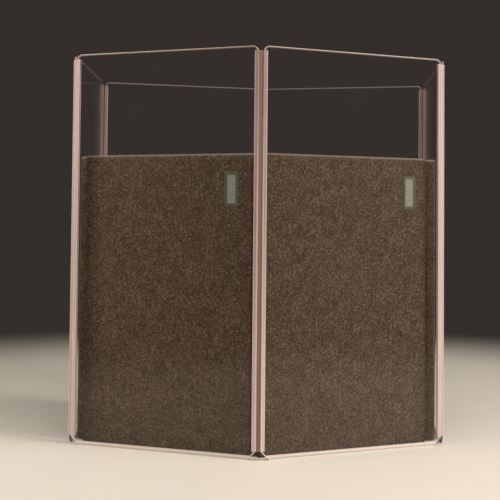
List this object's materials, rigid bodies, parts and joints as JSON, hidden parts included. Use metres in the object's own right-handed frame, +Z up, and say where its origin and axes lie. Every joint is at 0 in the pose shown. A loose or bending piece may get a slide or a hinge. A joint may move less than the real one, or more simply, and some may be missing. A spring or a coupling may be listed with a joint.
{
  "type": "amp shield",
  "caption": "Folding clear acrylic sound shield on full-height living hinges, closed in a ring round an amplifier, with felt-covered absorber baffles standing inside.",
  "frame": {"origin": "on the floor, at the middle of the ring's box in plan", "axes": "+Z up, +Y from the front hinge to the open back joint, +X to the right seen from the front"},
  "size_m": [1.2266, 1.0014, 1.2192],
  "materials": {
    "clear_acrylic": "polished",
    "hinge_channel": "satin",
    "hinge_web": "satin",
    "felt": "matte",
    "core_board": "matte",
    "back_cloth": "matte",
    "label_cloth": "matte"
  },
  "bodies": {
    "front_left": {"front_left_panel": "clear_acrylic", "front_left_centre_channel": "hinge_channel", "front_left_corner_channel": "hinge_channel"},
    "side_left": {"side_left_panel": "clear_acrylic", "side_left_front_channel": "hinge_channel", "side_left_back_channel": "hinge_channel"},
    "back_left": {"back_left_panel": "clear_acrylic", "back_left_corner_channel": "hinge_channel"},
    "front_right": {"front_right_panel": "clear_acrylic", "front_right_centre_channel": "hinge_channel", "front_right_corner_channel": "hinge_channel"},
    "side_right": {"side_right_panel": "clear_acrylic", "side_right_front_channel": "hinge_channel", "side_right_back_channel": "hinge_channel"},
    "back_right": {"back_right_panel": "clear_acrylic", "back_right_corner_channel": "hinge_channel"},
    "front_centre_web": {"front_centre_web": "hinge_web"},
    "front_left_corner_web": {"front_left_corner_web": "hinge_web"},
    "front_right_corner_web": {"front_right_corner_web": "hinge_web"},
    "back_left_corner_web": {"back_left_corner_web": "hinge_web"},
    "back_right_corner_web": {"back_right_corner_web": "hinge_web"},
    "baffle_front_left": {"baffle_front_left_cover": "felt", "baffle_front_left_core": "core_board", "baffle_front_left_back_cloth": "back_cloth", "baffle_front_left_label": "label_cloth"},
    "baffle_front_right": {"baffle_front_right_cover": "felt", "baffle_front_right_core": "core_board", "baffle_front_right_back_cloth": "back_cloth", "baffle_front_right_label": "label_cloth"},
    "baffle_side_left": {"baffle_side_left_cover": "felt", "baffle_side_left_core": "core_board", "baffle_side_left_back_cloth": "back_cloth"},
    "baffle_side_right": {"baffle_side_right_cover": "felt", "baffle_side_right_core": "core_board", "baffle_side_right_back_cloth": "back_cloth"}
  },
  "joints": [
    {"name": "front_centre_hinge_near_edge", "type": "hinge", "parent": "front_left", "child": "front_centre_web", "pos_m": [-0.01749, -0.4967, 0.615], "axis": [0, 0, 1], "range_deg": [-110.9, 0]},
    {"name": "front_centre_hinge_far_edge", "type": "hinge", "parent": "front_centre_web", "child": "front_right", "pos_m": [-0.00699, -0.49652, 0.615], "axis": [0, 0, 1], "range_deg": [-110.9, 0]},
    {"name": "front_left_corner_hinge_near_edge", "type": "hinge", "parent": "front_left", "child": "front_left_corner_web", "pos_m": [-0.59496, -0.28458, 0.615], "axis": [0, 0, 1], "range_deg": [0, 119.8]},
    {"name": "front_left_corner_hinge_far_edge", "type": "hinge", "parent": "front_left_corner_web", "child": "side_left", "pos_m": [-0.60103, -0.276, 0.615], "axis": [0, 0, 1], "range_deg": [0, 119.8]},
    {"name": "back_left_corner_hinge_near_edge", "type": "hinge", "parent": "side_left", "child": "back_left_corner_web", "pos_m": [-0.60833, 0.33915, 0.615], "axis": [0, 0, -1], "range_deg": [-127.6, 0]},
    {"name": "back_left_corner_hinge_far_edge", "type": "hinge", "parent": "back_left_corner_web", "child": "back_left", "pos_m": [-0.60189, 0.34745, 0.615], "axis": [0, 0, -1], "range_deg": [-127.6, 0]},
    {"name": "front_right_corner_hinge_near_edge", "type": "hinge", "parent": "front_right", "child": "front_right_corner_web", "pos_m": [0.56272, -0.26437, 0.615], "axis": [0, 0, -1], "range_deg": [0, 117.9]},
    {"name": "front_right_corner_hinge_far_edge", "type": "hinge", "parent": "front_right_corner_web", "child": "side_right", "pos_m": [0.56886, -0.25585, 0.615], "axis": [0, 0, -1], "range_deg": [0, 117.9]},
    {"name": "back_right_corner_hinge_near_edge", "type": "hinge", "parent": "side_right", "child": "back_right_corner_web", "pos_m": [0.60845, 0.35808, 0.615], "axis": [0, 0, 1], "range_deg": [-129.3, 0]},
    {"name": "back_right_corner_hinge_far_edge", "type": "hinge", "parent": "back_right_corner_web", "child": "back_right", "pos_m": [0.60214, 0.36647, 0.615], "axis": [0, 0, 1], "range_deg": [-129.3, 0]},
    {"name": "baffle_front_left_lift", "type": "slide", "parent": "front_left", "child": "baffle_front_left", "axis": [0, 0, 1], "range_m": [0, 1.23]},
    {"name": "baffle_front_right_lift", "type": "slide", "parent": "front_right", "child": "baffle_front_right", "axis": [0, 0, 1], "range_m": [0, 1.23]},
    {"name": "baffle_side_left_lift", "type": "slide", "parent": "side_left", "child": "baffle_side_left", "axis": [0, 0, 1], "range_m": [0, 1.23]},
    {"name": "baffle_side_right_lift", "type": "slide", "parent": "side_right", "child": "baffle_side_right", "axis": [0, 0, 1], "range_m": [0, 1.23]}
  ]
}
